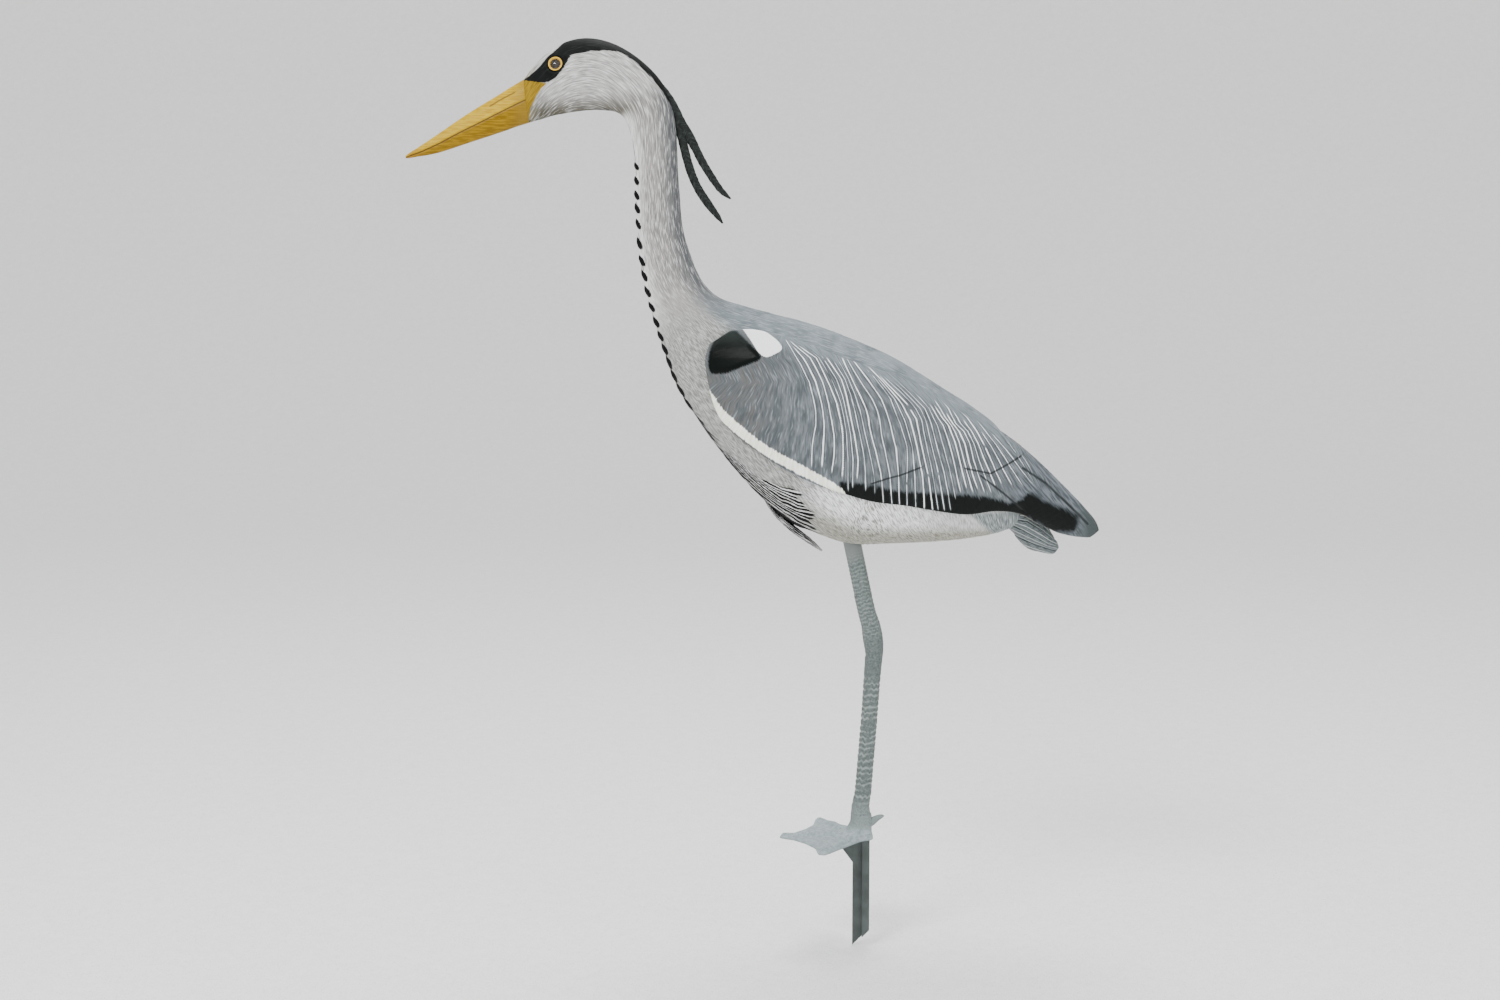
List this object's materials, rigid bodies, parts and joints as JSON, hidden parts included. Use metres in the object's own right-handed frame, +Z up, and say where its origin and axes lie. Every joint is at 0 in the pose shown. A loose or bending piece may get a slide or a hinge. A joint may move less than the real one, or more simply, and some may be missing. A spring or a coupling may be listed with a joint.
{
  "type": "heron confidence decoy",
  "caption": "Full-body wading-bird decoy standing on one leg, with folded wings, crest plumes and a ground stake under the foot.",
  "frame": {"origin": "on the ground stake's axis, level with the underside of the heel", "axes": "+Z up, bill towards -X, tail towards +X, the bird's left side towards -Y"},
  "size_m": [0.688, 0.1538, 0.913],
  "materials": {
    "body_plastic": "textured moulding, hand-painted pale grey with streaks",
    "wing_plastic": "feather-relief moulding, painted grey, black and white, satin",
    "tail_plastic": "feather-relief moulding, painted grey",
    "bill_plastic": "satin ochre-yellow paint",
    "eye_enamel": "yellow ring round a black pupil",
    "eye_glass": "clear polished dome",
    "plume_rubber": "soft black moulding, satin",
    "socket_plastic": "plain moulded",
    "screw_steel": "zinc plated",
    "bush_nylon": "natural nylon",
    "leg_plastic": "scaled relief, grey paint dry-brushed lighter",
    "foot_plastic": "blue-grey paint over fine scales",
    "stake_plastic": "unpainted green-grey moulding"
  },
  "bodies": {
    "leg": {"leg": "leg_plastic", "foot": "foot_plastic", "stake": "stake_plastic"},
    "bush": {"leg_bush": "bush_nylon"},
    "bird": {"left_body_shell": "body_plastic", "right_body_shell": "body_plastic", "left_wing": "wing_plastic", "right_wing": "wing_plastic", "tail": "tail_plastic", "bill": "bill_plastic", "left_eye": "eye_enamel", "right_eye": "eye_enamel", "left_eye_dome": "eye_glass", "right_eye_dome": "eye_glass", "crest_plumes": "plume_rubber", "breast_plumes": "plume_rubber", "leg_socket": "socket_plastic", "socket_screws": "screw_steel"}
  },
  "joints": [
    {"name": "body_swivel", "type": "hinge", "parent": "leg", "child": "bush", "pos_m": [0.01, 0, 0.202], "axis": [-0.2079, 0, 0.9781], "continuous": true},
    {"name": "body_lift", "type": "slide", "parent": "bush", "child": "bird", "axis": [-0.2079, 0, 0.9781], "range_m": [0, 0.07]}
  ]
}
